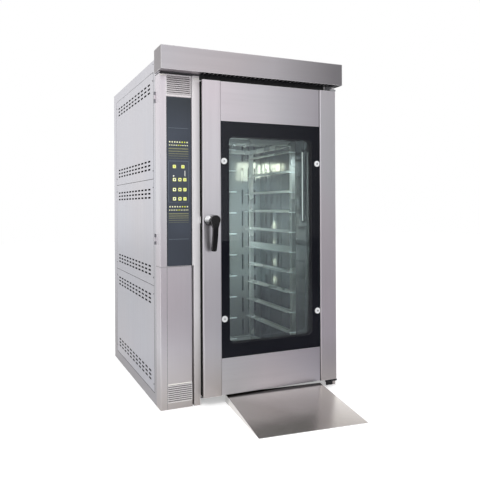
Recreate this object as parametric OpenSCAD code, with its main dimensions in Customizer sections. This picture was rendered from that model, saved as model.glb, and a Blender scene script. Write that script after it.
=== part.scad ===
// Single-trolley rotary rack oven: sheet-steel cabinet, glazed door, ventilated
// side panels, control column, steam hood, turning tray rack and loading ramp.
// Millimetres. X runs right along the front, Y runs back, Z runs up.
// The origin is on the floor, at the middle of the cabinet's footprint.

/* [Cabinet] */
// Width of the cabinet
body_w = 1080; // [1040:10:1200]
// Depth of the cabinet, without hood and door
body_d = 1200; // [1180:10:1320]
// Height of the roof above the floor
body_h = 1864; // [1840:4:1980]
// Thickness of the outer sheet steel
sheet = 2; // [1.5:0.5:3]
// Height of the toe space under the door
toe_h = 34; // [30:1:60]
// Thickness of the chamber floor
floor_t = 12; // [8:1:20]

/* [Side panels] */
// Distance from the front of the cabinet to the screwed panels
panel_front = 118; // [110:1:140]
// Width of the strip behind the screwed panels
panel_rear = 89; // [60:1:120]
// Height of the strip under the lowest panel
panel_foot = 60; // [50:1:80]
// Height of the strip over the highest panel
panel_head = 61.9; // [40:0.1:80]
// Width of the seam round a panel
seam = 2; // [1:0.5:3]
// Air slots in one row
slot_cols = 11; // [7:1:12]
// Length of one air slot
slot_len = 51; // [40:1:58]
// Height of one air slot
slot_h = 10; // [6:1:12]
// Pitch of the air slot rows
slot_row_pitch = 22.5; // [18:0.5:24]
// Distance of the middle row of a band from the panel's edge
slot_band = 78; // [60:1:90]

/* [Control column] */
// Width of the control column
column_w = 177; // [170:1:190]
// Depth of the column's folded side
column_d = 79; // [74:1:90]
// Width of the rounded corner strip
corner_w = 37; // [32:1:50]
// Height where the control door starts
door_split = 754; // [700:1:800]
// Distance from the roof down to the control door
control_gap = 94; // [92:1:104]
// Height of the louvre over the fascia
louvre_h = 118; // [116:1:130]
// Thickness of the fascia
fascia_t = 4; // [3:0.5:5]
// Side of a square key
key_w = 18; // [16:1:24]
// Free space round a key
key_gap = 0.4; // [0.3:0.1:0.6]
// Pitch of the louvre blades
blade_pitch = 10.6; // [9:0.1:11]
// How far a louvre blade stands out
blade_out = 4; // [2:0.5:6]
// Free height between two louvre blades
blade_gap = 3.2; // [1:0.2:5]
// Width of the sheet beside the louvre blades
louvre_rim = 3; // [2:0.5:8]

/* [Door] */
// Left edge of the door, from the cabinet's left side
door_x = 222; // [219:1:226]
// Gap from the door's right edge to the cabinet's right side
door_right_gap = 24; // [20:1:40]
// Bottom of the door above the floor
door_z = 50; // [50:1:70]
// Distance from the roof down to the door
door_top_gap = 117; // [114:1:200]
// Distance from the door's front to the cabinet's front
door_out = 50; // [48:1:60]
// Depth of the outer door pan
pan_d = 12; // [10:1:14]
// Width of a door stile
stile_w = 105; // [90:1:120]
// How far the rails lie behind the stiles
rail_back = 7; // [4:1:8]
// Height of the bottom rail
rail_low = 198; // [160:1:230]
// Height of the top rail
rail_high = 213; // [180:1:240]
// Width of the black border at the sides of the glass
border_side = 51; // [40:1:60]
// Width of the black border at the top and bottom of the glass
border_end = 76; // [60:1:90]
// Corner radius of the clear window
window_r = 30; // [15:1:45]
// Thickness of the door glass
glass_t = 4; // [3:0.5:4]
// Diameter of a glass fastener
disc_d = 34; // [26:1:40]
// Distance of a fastener from the glass's side
fastener_in = 19; // [18:0.5:24]
// Radius of the door's pivot pins
pivot_r = 7; // [5:0.5:8]

/* [Handle] */
// Distance of the handle's axis from the door's left edge
handle_in = 45; // [40:1:52]
// Height of the handle's axis
handle_z = 999; // [900:1:1100]
// Length of the lever from its axis
lever_l = 166; // [130:1:190]
// Width of the lever
lever_w = 28; // [22:1:32]
// Thickness of the lever
lever_t = 18; // [14:1:20]
// Radius of the lever's hub
hub_r = 26; // [22:1:30]
// Radius of the handle's spindle
spindle_r = 9; // [7:0.5:10]

/* [Hood] */
// Height of the hood
hood_h = 123; // [100:1:140]
// Distance from the roof down to the hood's lower edge
hood_drop = 84; // [74:1:88]
// Distance from the hood's front to the cabinet's front
hood_out = 70; // [66:1:140]
// How far the hood reaches back over the roof
hood_over = 64; // [50:1:78]
// How far the hood stands out at each side
hood_side = 10; // [6:1:14]
// Pitch of the openings in the hood's grille
grille_pitch = 25; // [20:1:40]

/* [Chamber] */
// Left wall of the chamber, from the cabinet's left side
chamber_x = 248; // [246:1:252]
// Insulated space at the chamber's right side
chamber_right = 36; // [30:1:60]
// Depth of the machine space behind the air duct
back_space = 130; // [110:5:180]
// Depth of the air duct behind the chamber
duct_d = 117; // [112:1:130]
// Height of the machine space over the chamber
roof_space = 260; // [240:1:270]
// Thickness of the chamber's lining
liner_t = 3; // [2:0.5:3]
// Radius of the fan wheel
fan_r = 160; // [120:5:165]
// Height of the fan's axis
fan_z = 1150; // [1000:10:1250]
// Number of fan blades
fan_blades = 20; // [12:1:24]
// Radius of the lamp tube
lamp_r = 8; // [6:0.5:10]

/* [Rack] */
// Width of the rack
rack_w = 460; // [430:5:465]
// Depth of the rack
rack_d = 620; // [560:10:625]
// Distance from the cabinet's front to the rack's turning axis
rack_front = 430; // [420:5:500]
// Number of tray levels
levels = 10; // [6:1:10]
// Height of the lowest tray level
level_z = 306; // [280:1:320]
// Distance from the rack's top down to the highest tray level
level_head = 66; // [60:1:120]
// Width of a tray rail
rail_w = 34; // [20:1:36]
// Side of the square tube
tube = 25; // [20:1:30]
// Distance from the ceiling down to the rack's top
rack_gap = 144; // [130:1:160]
// Radius of a castor wheel
wheel_r = 40; // [35:1:42]
// Radius of the drive shaft
drive_r = 20; // [14:1:24]

/* [Ramp] */
// Width of the ramp
ramp_w = 577; // [500:1:620]
// Length of the ramp
ramp_l = 521; // [400:1:600]
// Height of the ramp's rear edge
ramp_h = 44; // [36:1:46]
// Angle at which the loose ramp stands
ramp_turn = -5; // [-5:1:5]

/* [Fits] */
// Radial clearance of a running fit
run_gap = 0.05; // [0.02:0.01:0.1]
// Free space between solids that move past each other
free_gap = 0.4; // [0.3:0.1:0.8]

/* [Hidden] */
$fn = 48;

// Colours
steel = [0.74, 0.73, 0.74];
bright = [0.85, 0.85, 0.87];
black = [0.06, 0.06, 0.07];
slate = [0.17, 0.21, 0.27];
key_yellow = [0.83, 0.86, 0.30];

// Cabinet
panel_back = body_d - panel_rear;
roof_z = body_h - sheet;
panel_h = (body_h - panel_head - panel_foot) / 3;
panel_z = [for (k = [0:2]) panel_foot + k * panel_h];
slot_rim = 96;
slot_pitch = (panel_back - panel_front - 2 * slot_rim) / 10;
control_top = body_h - control_gap;
fascia_top = control_top - louvre_h;
hood_z = body_h - hood_drop;
chamber_h = body_h - roof_space;
chamber_d = body_d - back_space - duct_d - liner_t;
return_y = column_d + seam;
lip = 14;
leg_w = 34;
post_x = column_w + 10;
floor_z = toe_h + floor_t;
head_z = control_top + 4;
reveal_d = 62;
opening_x = [chamber_x + 4, body_w - chamber_right - 14];
opening_top = chamber_h - 4;
beam = 40;
toe_d = 100;

// Chamber
wall_x = [chamber_x, body_w - chamber_right];
duct_back = chamber_d + liner_t + duct_d;
rack_c = [(wall_x[0] + wall_x[1]) / 2, rack_front];
fan_y = duct_back - 85;
fan_w = 70;
fan_hub_r = 26;
fan_hub_l = 42;
fan_shaft_l = 62;
element_gap = 35;
shaft_r = 12;
lamp_y = rack_front - 133;
lamp_z = [chamber_h - 629, chamber_h - 186];
rib_y = [for (share = [0.13, 0.23, 0.44, 0.63, 0.82, 0.92]) reveal_d + share * (chamber_d - reveal_d)];
flue_c = [body_w - 220, duct_back - 60];
flue_r = 60;
flue_top = body_h + 60;

// Door
door_w = body_w - door_right_gap - door_x;
door_top = body_h - door_top_gap;
door_h = door_top - door_z;
door_front = -door_out;
rail_front = door_front + rail_back;
core_front = door_front + pan_d;
core_back = -8;
inner_back = -6;
core_in = 10;
glass_x = [door_x + stile_w, door_x + door_w - stile_w - 2];
glass_z = [door_z + rail_low, door_top - rail_high];
window_x = [glass_x[0] + border_side, glass_x[1] - border_side];
window_z = [glass_z[0] + border_end - 2, glass_z[1] - border_end - 6];
pivot = [door_x + door_w - 14, door_front + 14];
coat_t = 0.4;
inner_glass_t = 5;
gasket_x = [opening_x[0] - 18, pivot[0] - 1];
gasket_z = [door_z + 6, opening_top + 18];
gasket_w = 13;
block_h = 34;
block_half = 13;

// Handle
handle_x = door_x + handle_in;
housing_r = 32;
housing_in = 8;
neck_r = 17;
hub_back = door_front - 54;
hub_front = hub_back - 23;
lever_y = door_front - 65;
lever_reach = lever_l - 24;
lever_bend = 27;
lever_curve = (lever_reach * lever_reach + lever_bend * lever_bend) / (2 * lever_bend);
bolt_y = [core_back - 21, core_back - 11];
keeper_x = [door_x - 3, door_x + 3];
bolt_x = [keeper_x[1] + 1, handle_x - 5];
bolt_half = 8;

// Control door
control_hinge = [-4.4, column_d];
hinge_z = [control_top - 112, door_split + 142];
hinge_half = 29;
knuckle_r = 4;
knuckle_l = 18;
leaf_w = 24;
keys_top_z = 1283;
key_x = [80.4, 110.3, 138];
key_z = [1214, 1161, 1112];
key_at = concat([[80.4, keys_top_z], [127.4, keys_top_z]], [for (z = key_z) for (x = key_x) [x, z]]);
board_z = [key_z[2] - 24, keys_top_z + 30];
key_up = 0.6;
louvre_x = [corner_w + louvre_rim, column_w - sheet - louvre_rim];
blade_tuck = 1.4;
key_flange = 1.5;

// Drive on the chamber's roof, and the fan's motor
gear_half = 60;
gear_h = 118;
gear_foot = 80;
foot_t = 8;
shaft_up = 90;
drive_motor = [52, 190];
drive_motor_z = 64;
rim_h = 6;
fan_motor_r = 62;
fan_flange_r = 90;
fan_motor_l = back_space - sheet - foot_t;
hanger_r = 62;
hanger_z = 52;

// Rack
rack_top = chamber_h - rack_gap;
level_pitch = (rack_top - level_head - level_z) / (levels - 1);
half_w = rack_w / 2;
half_d = rack_d / 2;
wheel_lift = 2;
wheel_z = floor_z + wheel_lift + wheel_r;
fork_top = wheel_z + wheel_r + 12;
base_z = fork_top;
castor = [half_w - 40, half_d - 65];
axle_r = 6;
wheel_t = 30;
hook_z = rack_top - 8;

module at_floor_centre() {
    translate([-body_w / 2, -body_d / 2, 0]) children();
}

// Box between two corners
module slab(a, b) {
    translate(a) cube(b - a);
}

// Rectangle between two corners
module rect(a, b) {
    translate(a) square(b - a);
}

module round_rect(a, b, r) {
    rect([a[0] + r, a[1]], [b[0] - r, b[1]]);
    rect([a[0], a[1] + r], [b[0], b[1] - r]);
    for (x = [a[0] + r, b[0] - r]) for (y = [a[1] + r, b[1] - r]) translate([x, y]) circle(r);
}

// Slot with round ends, along the first axis
module obround(c, l, h) {
    rect([c[0] - l / 2 + h / 2, c[1] - h / 2], [c[0] + l / 2 - h / 2, c[1] + h / 2]);
    for (s = [-1, 1]) translate([c[0] + s * (l - h) / 2, c[1]]) circle(h / 2, $fn = 16);
}

// Plate that faces the front: a drawing in X and Z, from y0 back to y1
module face_plate(y0, y1) {
    translate([0, y1, 0]) rotate([90, 0, 0]) linear_extrude(y1 - y0) children();
}

// Plate that faces the side: a drawing in Y and Z, from x0 to x1
module side_plate(x0, x1) {
    translate([x0, 0, 0]) rotate([90, 0, 90]) linear_extrude(x1 - x0) children();
}

// Rod along X, Y or Z
module rod_x(c, r, l) {
    translate(c) rotate([0, 90, 0]) cylinder(h = l, r = r);
}
module rod_y(c, r, l) {
    translate(c) rotate([-90, 0, 0]) cylinder(h = l, r = r);
}
module rod_z(c, r, l) {
    translate(c) cylinder(h = l, r = r);
}

// Folded channel, open at the back, with rounded front edges
module channel(w, left_d, right_d, r, t) {
    difference() {
        union() {
            rect([r, 0], [w - r, r]);
            for (x = [r, w - r]) translate([x, r]) circle(r);
            rect([0, r], [w / 2, left_d]);
            rect([w / 2, r], [w, right_d]);
        }
        rect([r, t], [w - r, r + t]);
        for (x = [r, w - r]) translate([x, r]) circle(r - t);
        rect([t, r], [w - t, max(left_d, right_d) + 1]);
    }
}

// Row of slanted blades between x0 and x1, from z0 up
module blades(x0, x1, z0, n) {
    for (k = [0:n - 1]) {
        low = z0 + k * blade_pitch;
        side_plate(x0, x1)
            polygon([[0, low + blade_pitch - blade_gap], [-blade_out, low], [1.6 - blade_out, low],
                [1.6, low + blade_pitch - blade_gap]]);
    }
}

module base_frame() color(steel) at_floor_centre() {
    difference() {
        slab([sheet, toe_d, 0], [body_w - sheet, body_d - sheet, toe_h]);
        slab([sheet + beam, toe_d + beam, -1], [wall_x[0] - beam, body_d - sheet - beam, toe_h + 1]);
        slab([wall_x[0], toe_d + beam, -1], [body_w - sheet - beam, body_d / 2 - beam / 2, toe_h + 1]);
        slab([wall_x[0], body_d / 2 + beam / 2, -1],
            [body_w - sheet - beam, body_d - sheet - beam, toe_h + 1]);
    }
}

module panel_outline(k, grow) {
    rect([panel_front - grow, panel_z[k] - grow], [panel_back + grow, panel_z[k] + panel_h + grow]);
}

module left_frame() color(steel) at_floor_centre() {
    side_plate(0, sheet) difference() {
        union() {
            rect([return_y, 0], [body_d - sheet, body_h]);
            rect([sheet, head_z], [return_y, body_h]);
        }
        for (k = [0:2]) panel_outline(k, 0);
    }
    // Ledge that the screwed panels rest on
    side_plate(sheet, 2 * sheet) difference() {
        for (k = [0:2]) panel_outline(k, lip);
        for (k = [0:2]) panel_outline(k, -lip);
    }
    // Folded front edge, with the joggle that carries the column's lower panel
    slab([0, return_y, 0], [60, return_y + sheet, head_z]);
    slab([sheet, return_y - 20, 20], [2 * sheet, return_y + sheet, door_split - 20]);
}

module left_panel(k) color(steel) at_floor_centre() {
    side_plate(0, sheet) difference() {
        panel_outline(k, -seam / 2);
        for (z = [panel_z[k] + slot_band, panel_z[k] + panel_h - slot_band])
            for (row = [-1:1]) for (c = [0:slot_cols - 1])
                obround([(panel_front + panel_back) / 2 + (c - (slot_cols - 1) / 2) * slot_pitch,
                    z + row * slot_row_pitch], slot_len, slot_h);
    }
}
module left_panel_lower() left_panel(0);
module left_panel_middle() left_panel(1);
module left_panel_upper() left_panel(2);

module right_side_panel() color(steel) at_floor_centre() {
    side_plate(body_w - sheet, body_w) rect([sheet, 0], [body_d - sheet, body_h]);
    slab([body_w - 20, sheet, 0], [body_w - sheet, 2 * sheet, roof_z]);
}

module back_panel() color(steel) at_floor_centre() {
    inlet = [100, 1400];
    gland = [100, 1650];
    vent = [rack_c[0], fan_z];
    inlet_r = [9, 13];
    gland_r = [11, 18];
    face_plate(body_d - sheet, body_d) difference() {
        rect([0, 0], [body_w, body_h]);
        for (row = [-4:4]) for (c = [-2:2])
            obround([vent[0] + c * 62, vent[1] + row * slot_row_pitch], slot_len, slot_h);
        translate(inlet) circle(inlet_r[0]);
        translate(gland) circle(gland_r[0]);
    }
    // Water inlet
    difference() {
        rod_y([inlet[0], body_d, inlet[1]], inlet_r[1], 32);
        rod_y([inlet[0], body_d - 1, inlet[1]], inlet_r[0], 34);
    }
    // Cable gland
    difference() {
        rod_y([gland[0], body_d, gland[1]], gland_r[1], 22);
        rod_y([gland[0], body_d - 1, gland[1]], gland_r[0], 24);
    }
}

module roof_panel() color(steel) at_floor_centre() {
    difference() {
        union() {
            slab([sheet, 0, roof_z], [body_w - sheet, body_d - sheet, body_h]);
            rod_z([flue_c[0], flue_c[1], chamber_h + liner_t], flue_r, flue_top - chamber_h - liner_t);
        }
        rod_z([flue_c[0], flue_c[1], chamber_h], flue_r - sheet, flue_top);
    }
}

// Front of the cabinet: posts, header and the chamber's doorway
module door_frame() color(steel) at_floor_centre() {
    doorway = [[opening_x[0], toe_h - 1], [opening_x[1], opening_top]];
    face_plate(0, sheet) difference() {
        union() {
            rect([post_x, floor_z], [body_w, roof_z]);
            rect([post_x, 0], [post_x + leg_w, floor_z]);
            rect([body_w - leg_w, 0], [body_w, floor_z]);
            rect([0, head_z], [body_w, roof_z]);
        }
        rect(doorway[0], doorway[1]);
    }
    // Doorway lining and the flange that meets the chamber
    face_plate(sheet, reveal_d) difference() {
        rect([opening_x[0] - liner_t, floor_z], [opening_x[1] + liner_t, opening_top + liner_t]);
        rect(doorway[0], doorway[1]);
    }
    face_plate(reveal_d - liner_t, reveal_d) difference() {
        rect([wall_x[0] - liner_t, floor_z], [wall_x[1] + liner_t, chamber_h + liner_t]);
        rect(doorway[0], doorway[1]);
    }
    // Folded edges of the posts
    slab([post_x, sheet, 0], [post_x + sheet, reveal_d, roof_z]);
    slab([body_w - leg_w, sheet, 0], [body_w - leg_w + sheet, reveal_d, floor_z]);
}

module column_panel() color(steel) at_floor_centre() {
    low_blades = 37;
    difference() {
        linear_extrude(door_split - seam) channel(column_w, column_d, 60, 5, sheet);
        slab([louvre_x[0], -1, low_blades - 1], [louvre_x[1], sheet + 1, low_blades + 9 * blade_pitch]);
        slab([corner_w, -1, -1], [corner_w + 1.2, 0.8, door_split]);
        slab([corner_w, -1, 126], [column_w, 0.8, 127.2]);
    }
    blades(louvre_x[0] - blade_tuck, louvre_x[1] + blade_tuck, low_blades, 9);
}

module hood() color(steel) at_floor_centre() {
    top = hood_z + hood_h;
    left = -hood_side;
    right = body_w + hood_side;
    difference() {
        slab([left, -hood_out, hood_z], [right, hood_over, top]);
        slab([left + sheet, sheet - hood_out, hood_z + sheet],
            [right - sheet, hood_over - sheet, top - sheet]);
        // Mouth of the hood, and the body of the cabinet
        slab([post_x + leg_w, sheet - hood_out, hood_z - 1], [right - sheet, 0, hood_z + sheet + 1]);
        slab([0, 0, hood_z - 1], [body_w, hood_over + 1, body_h]);
    }
}

module hood_grille() color(black) at_floor_centre() {
    x0 = post_x + leg_w;
    x1 = body_w + hood_side - sheet;
    bars = floor((x1 - x0 - 20) / grille_pitch);
    difference() {
        slab([x0, sheet - hood_out, hood_z + sheet], [x1, 0, hood_z + sheet + 3]);
        for (k = [0:bars - 1])
            slab([x0 + 14 + k * grille_pitch, 16 - hood_out, hood_z],
                [x0 + 14 + (k + 0.6) * grille_pitch, -8, hood_z + 10]);
    }
    // Ribbed strip on the header, above the door
    difference() {
        slab([x0, -4, door_top + 5], [pivot[0] - 40, 0, hood_z + sheet]);
        for (k = [0:bars - 5])
            slab([x0 + 14 + k * grille_pitch, -5, door_top + 9],
                [x0 + 14 + (k + 0.6) * grille_pitch, -2, hood_z - 4]);
    }
}

module chamber_liner() color(bright) at_floor_centre() {
    difference() {
        union() {
            for (x = [wall_x[0] - liner_t, wall_x[1]])
                slab([x, reveal_d, toe_h], [x + liner_t, duct_back, chamber_h + liner_t]);
            slab([wall_x[0] - liner_t, reveal_d, chamber_h],
                [wall_x[1] + liner_t, duct_back, chamber_h + liner_t]);
            slab([wall_x[0] - liner_t, duct_back - liner_t, toe_h],
                [wall_x[1] + liner_t, duct_back, chamber_h + liner_t]);
            // Pressed ribs on the side walls
            for (y = rib_y) for (x = wall_x)
                rod_z([x, y, floor_z + 60], 3, chamber_h - floor_z - 120);
            // Lamp holders
            for (z = [lamp_z[0] - 15, lamp_z[1]])
                slab([wall_x[1] - 26, lamp_y - 10, z], [wall_x[1], lamp_y + 10, z + 15]);
        }
        rod_z([rack_c[0], rack_c[1], chamber_h - 1], drive_r + 3, liner_t + 2);
        rod_z([flue_c[0], flue_c[1], chamber_h - 1], flue_r - 4, liner_t + 2);
        rod_y([rack_c[0], duct_back - liner_t - 1, fan_z], shaft_r + 4, liner_t + 2);
    }
}

// Rear wall of the chamber, with the fan's guard and upright air slots
module duct_panel() color(bright) at_floor_centre() {
    guard_r = fan_r - 10;
    rows = 9;
    low = 180;
    row_pitch = (chamber_h - low - 144) / (rows - 1);
    face_plate(chamber_d, chamber_d + liner_t) {
        difference() {
            rect([wall_x[0], floor_z], [wall_x[1], chamber_h]);
            translate([rack_c[0], fan_z]) circle(guard_r, $fn = 96);
            for (side = [-1, 1]) for (c = [0:2]) for (row = [0:rows - 1])
                translate([rack_c[0] + side * (250 + c * 50), low + row * row_pitch]) rotate(90)
                    obround([0, 0], 110, 12);
        }
        translate([rack_c[0], fan_z]) {
            for (r = [30:30:guard_r - 15]) difference() {
                circle(r + 2);
                circle(r - 2);
            }
            for (a = [0:45:135]) rotate(a) square([2 * guard_r + 4, 5], center = true);
        }
    }
}

module floor_pan() color(bright) at_floor_centre() {
    slab([opening_x[0], 0, toe_h], [opening_x[1], reveal_d, floor_z]);
    slab([wall_x[0], reveal_d, toe_h], [wall_x[1], duct_back - liner_t, floor_z]);
}

module heating_element() color([0.35, 0.33, 0.32]) at_floor_centre() {
    ring_r = fan_r + element_gap;
    for (k = [0:2])
        translate([rack_c[0], fan_y + 10 + 22 * k, fan_z]) rotate([90, 0, 0]) rotate_extrude($fn = 96)
            translate([ring_r, 0]) circle(6, $fn = 24);
    for (s = [-1, 1])
        rod_y([rack_c[0] + s * ring_r, fan_y, fan_z], 4, duct_back - liner_t - fan_y);
}

module lamp_tube() color([1, 0.96, 0.85]) at_floor_centre() {
    rod_z([wall_x[1] - 15, lamp_y, lamp_z[0]], lamp_r, lamp_z[1] - lamp_z[0]);
}

module gearmotor() color([0.30, 0.34, 0.38]) at_floor_centre() {
    seat = chamber_h + liner_t;
    difference() {
        union() {
            slab([rack_c[0] - gear_foot, rack_c[1] - gear_foot, seat],
                [rack_c[0] + gear_foot, rack_c[1] + gear_foot, seat + foot_t]);
            slab([rack_c[0] - gear_half, rack_c[1] - gear_half, seat + foot_t],
                [rack_c[0] + gear_half, rack_c[1] + gear_half, seat + gear_h]);
            rod_x([rack_c[0] + gear_half, rack_c[1], seat + drive_motor_z], drive_motor[0], drive_motor[1]);
            for (k = [0:8])
                rod_x([rack_c[0] + gear_foot + 16 * k, rack_c[1], seat + drive_motor_z],
                    drive_motor[0] + rim_h, 5);
        }
        rod_z([rack_c[0], rack_c[1], seat - 1], drive_r + run_gap, shaft_up + 6);
    }
}

// Bracket with a pivot pin, on the right post of the cabinet
module hinge_bracket(plate_z, pin_z, pin_l) {
    slab([pivot[0] - 24, door_front - 2, plate_z], [pivot[0] + 14, 0, plate_z + 10]);
    rod_z([pivot[0], pivot[1], pin_z], pivot_r, pin_l);
}
module top_hinge_bracket() color([0.45, 0.45, 0.47]) at_floor_centre() {
    plate_z = door_top + free_gap;
    hinge_bracket(plate_z, plate_z - 30, 32);
    slab([pivot[0] - 24, -6, plate_z], [pivot[0] + 14, 0, hood_z + sheet]);
}
module bottom_hinge_bracket() color(black) at_floor_centre() {
    plate_z = door_z - free_gap - 10;
    hinge_bracket(plate_z, plate_z + 8, 32);
    slab([pivot[0] + 4 - leg_w, -6, 4], [pivot[0] + 14, 0, plate_z + 10]);
}

module latch_keeper() color(black) at_floor_centre() {
    difference() {
        slab([keeper_x[0], -20, handle_z - 18], [keeper_x[1], 0, handle_z + 18]);
        slab([keeper_x[1] - 3, -17, handle_z - bolt_half - 1],
            [keeper_x[1] + 1, -7, handle_z + bolt_half + 1]);
    }
}

module fan_motor() color([0.30, 0.34, 0.38]) at_floor_centre() {
    difference() {
        union() {
            rod_y([rack_c[0], duct_back, fan_z], fan_flange_r, 6);
            rod_y([rack_c[0], duct_back, fan_z], fan_motor_r, fan_motor_l);
            for (k = [0:5])
                rod_y([rack_c[0], duct_back + 14 + 14 * k, fan_z], fan_motor_r + rim_h, 5);
        }
        rod_y([rack_c[0], duct_back - 1, fan_z], shaft_r + run_gap, fan_hub_l);
    }
}

module control_hinges() color(bright) at_floor_centre() {
    for (z = hinge_z) {
        slab([-2, return_y + 3, z - hinge_half], [0, return_y + 3 + leaf_w, z + hinge_half]);
        for (s = [-1, 1]) {
            low = z + s * (hinge_half - knuckle_l / 2) - knuckle_l / 2;
            rod_z([control_hinge[0], control_hinge[1], low], knuckle_r, knuckle_l);
            slab([-2, column_d + 1, low], [0, return_y + 3, low + knuckle_l]);
        }
        rod_z([control_hinge[0], control_hinge[1], z - hinge_half + 2], 1.5, 2 * hinge_half - 4);
    }
}

// Centrifugal wheel: back plate, front ring, curved-back blades and hub with its shaft
module fan_wheel() color([0.62, 0.62, 0.64]) at_floor_centre() {
    inner_r = fan_r * 0.7;
    translate([rack_c[0], fan_y, fan_z]) rotate([-90, 0, 0]) {
        difference() {
            cylinder(h = 3, r = fan_r);
            translate([0, 0, -1]) cylinder(h = 5, r = inner_r);
        }
        translate([0, 0, fan_w]) cylinder(h = 4, r = fan_r);
        for (k = [0:fan_blades - 1]) rotate(k * 360 / fan_blades)
            translate([inner_r + 3, 0, 2]) rotate(28) cube([fan_r - inner_r - 8, 2, fan_w]);
        translate([0, 0, fan_w + 2 - fan_hub_l]) cylinder(h = fan_hub_l, r = fan_hub_r);
        translate([0, 0, fan_w - 10]) cylinder(h = fan_shaft_l, r = shaft_r);
    }
}

module stile(x, w) {
    translate([x, door_front, door_z]) linear_extrude(door_h) channel(w, pan_d, pan_d, 5, sheet);
}
module door_stile_left() color(steel) at_floor_centre() {
    difference() {
        stile(door_x, stile_w);
        rod_y([handle_x, door_front - 1, handle_z], spindle_r + 1, 5);
    }
}
module door_stile_right() color(steel) at_floor_centre() {
    difference() {
        union() {
            stile(glass_x[1], stile_w + 2);
            for (z = [door_z, door_top - block_h])
                slab([pivot[0] - block_half, door_front + 1, z],
                    [pivot[0] + block_half, pivot[1] + block_half, z + block_h]);
        }
        for (z = [door_z - 1, door_top - block_h - 1])
            rod_z([pivot[0], pivot[1], z], pivot_r + run_gap, block_h + 2);
    }
}

module rail(z0, z1) {
    difference() {
        slab([glass_x[0], rail_front, z0], [glass_x[1], core_front, z1]);
        slab([glass_x[0] - 1, rail_front + sheet, z0 + sheet],
            [glass_x[1] + 1, core_front + 1, z1 - sheet]);
    }
}
module door_rail_top() color(steel) at_floor_centre() rail(glass_z[1], door_top);
module door_rail_bottom() color(steel) at_floor_centre() rail(door_z, glass_z[0]);

module glass_outline() {
    rect([glass_x[0], glass_z[0]], [glass_x[1], glass_z[1]]);
}
module window_outline(grow) {
    round_rect([window_x[0] - grow, window_z[0] - grow], [window_x[1] + grow, window_z[1] + grow],
        window_r);
}
module outer_glass() color([0.75, 0.8, 0.82, 0.35]) at_floor_centre() {
    face_plate(core_front - coat_t - glass_t, core_front - coat_t) glass_outline();
}
module glass_border() color(black) at_floor_centre() {
    face_plate(core_front - coat_t, core_front) difference() {
        glass_outline();
        window_outline(0);
    }
}
module inner_glass() color([0.75, 0.8, 0.82, 0.35]) at_floor_centre() {
    face_plate(core_back - inner_glass_t, core_back)
        rect([window_x[0] - 20, window_z[0] - 20], [window_x[1] + 20, window_z[1] + 20]);
}

// Black thermal break between the outer pan and the inner plate
module door_core() color(black) at_floor_centre() {
    spare = 0.2;
    difference() {
        slab([door_x + core_in, core_front, door_z + 4],
            [door_x + door_w - core_in + 2, core_back, door_top - 4]);
        face_plate(core_front - 1, core_back + 1) window_outline(10);
        face_plate(core_back - inner_glass_t, core_back + 1)
            rect([window_x[0] - 20, window_z[0] - 20], [window_x[1] + 20, window_z[1] + 20]);
        for (z = [door_z, door_top - block_h])
            slab([pivot[0] - block_half - spare, core_front - 1, z - spare],
                [pivot[0] + 30, pivot[1] + block_half + spare, z + block_h + spare]);
        // Bore of the handle's spindle and channel of the latch bolt
        rod_y([handle_x, core_front - 1, handle_z], spindle_r + run_gap, 7);
        slab([door_x, bolt_y[0] - free_gap, handle_z - bolt_half - free_gap],
            [bolt_x[1] + 12, bolt_y[1] + free_gap, handle_z + bolt_half + free_gap]);
    }
}

module door_inner_frame() color(bright) at_floor_centre() {
    face_plate(core_back, inner_back) difference() {
        rect([door_x + core_in + 2, door_z + 6], [door_x + door_w - core_in, door_top - 6]);
        window_outline(-4);
    }
}

module glass_fasteners() color([0.80, 0.81, 0.82]) at_floor_centre() {
    face = core_front - coat_t - glass_t;
    for (x = [glass_x[0] + fastener_in, glass_x[1] - fastener_in])
        for (z = [window_z[0] + 139, window_z[1] - 136]) {
            rod_y([x, face - 4, z], disc_d / 2, 4);
            rod_y([x, face - 6, z], disc_d / 2 - 2, 2);
        }
}

module door_gasket() color(black) at_floor_centre() {
    face_plate(inner_back, -free_gap) difference() {
        rect([gasket_x[0], gasket_z[0]], [gasket_x[1], gasket_z[1]]);
        rect([gasket_x[0] + gasket_w, gasket_z[0] + gasket_w],
            [gasket_x[1] - gasket_w + 3, gasket_z[1] - gasket_w]);
    }
}

// Domed latch body on the stile
module latch_housing() color(bright) at_floor_centre() {
    ends = [handle_x - 10, handle_x + 3];
    mid_y = door_front + housing_in;
    difference() {
        union() {
            for (x = ends) translate([x, mid_y, handle_z]) sphere(housing_r);
            rod_x([ends[0], mid_y, handle_z], housing_r, ends[1] - ends[0]);
        }
        slab([ends[0] - 50, door_front, handle_z - 50], [ends[1] + 50, door_front + 60, handle_z + 50]);
        rod_y([handle_x, door_front - 60, handle_z], spindle_r + run_gap, 80);
    }
}

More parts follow.
